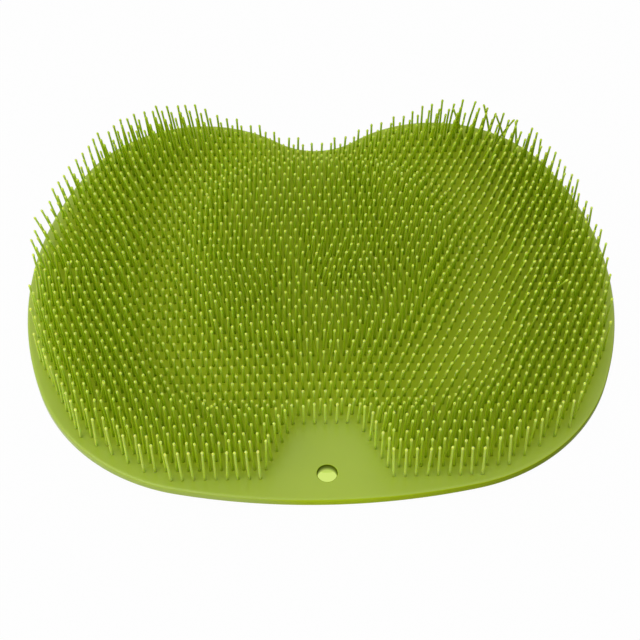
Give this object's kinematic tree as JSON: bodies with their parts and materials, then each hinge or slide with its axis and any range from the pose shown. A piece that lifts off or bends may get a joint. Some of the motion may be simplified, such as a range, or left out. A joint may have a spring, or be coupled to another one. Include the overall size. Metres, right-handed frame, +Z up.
{
  "type": "shower foot scrubber",
  "caption": "One-piece silicone foot scrubber mat: kidney-shaped plate with a field of soft bristles, a clear bay round a hanging hole, and suction cups below.",
  "frame": {"origin": "on the floor under the middle of the plate, level with the lips of the suction cups", "axes": "+X from side to side along the mat's length, +Y towards the notch at the back, +Z up through the bristles"},
  "size_m": [0.2906, 0.2464, 0.032],
  "materials": {
    "silicone": "soft translucent silicone, satin, lime green"
  },
  "bodies": {
    "root": {"scrubber_mat": "silicone"}
  },
  "joints": []
}
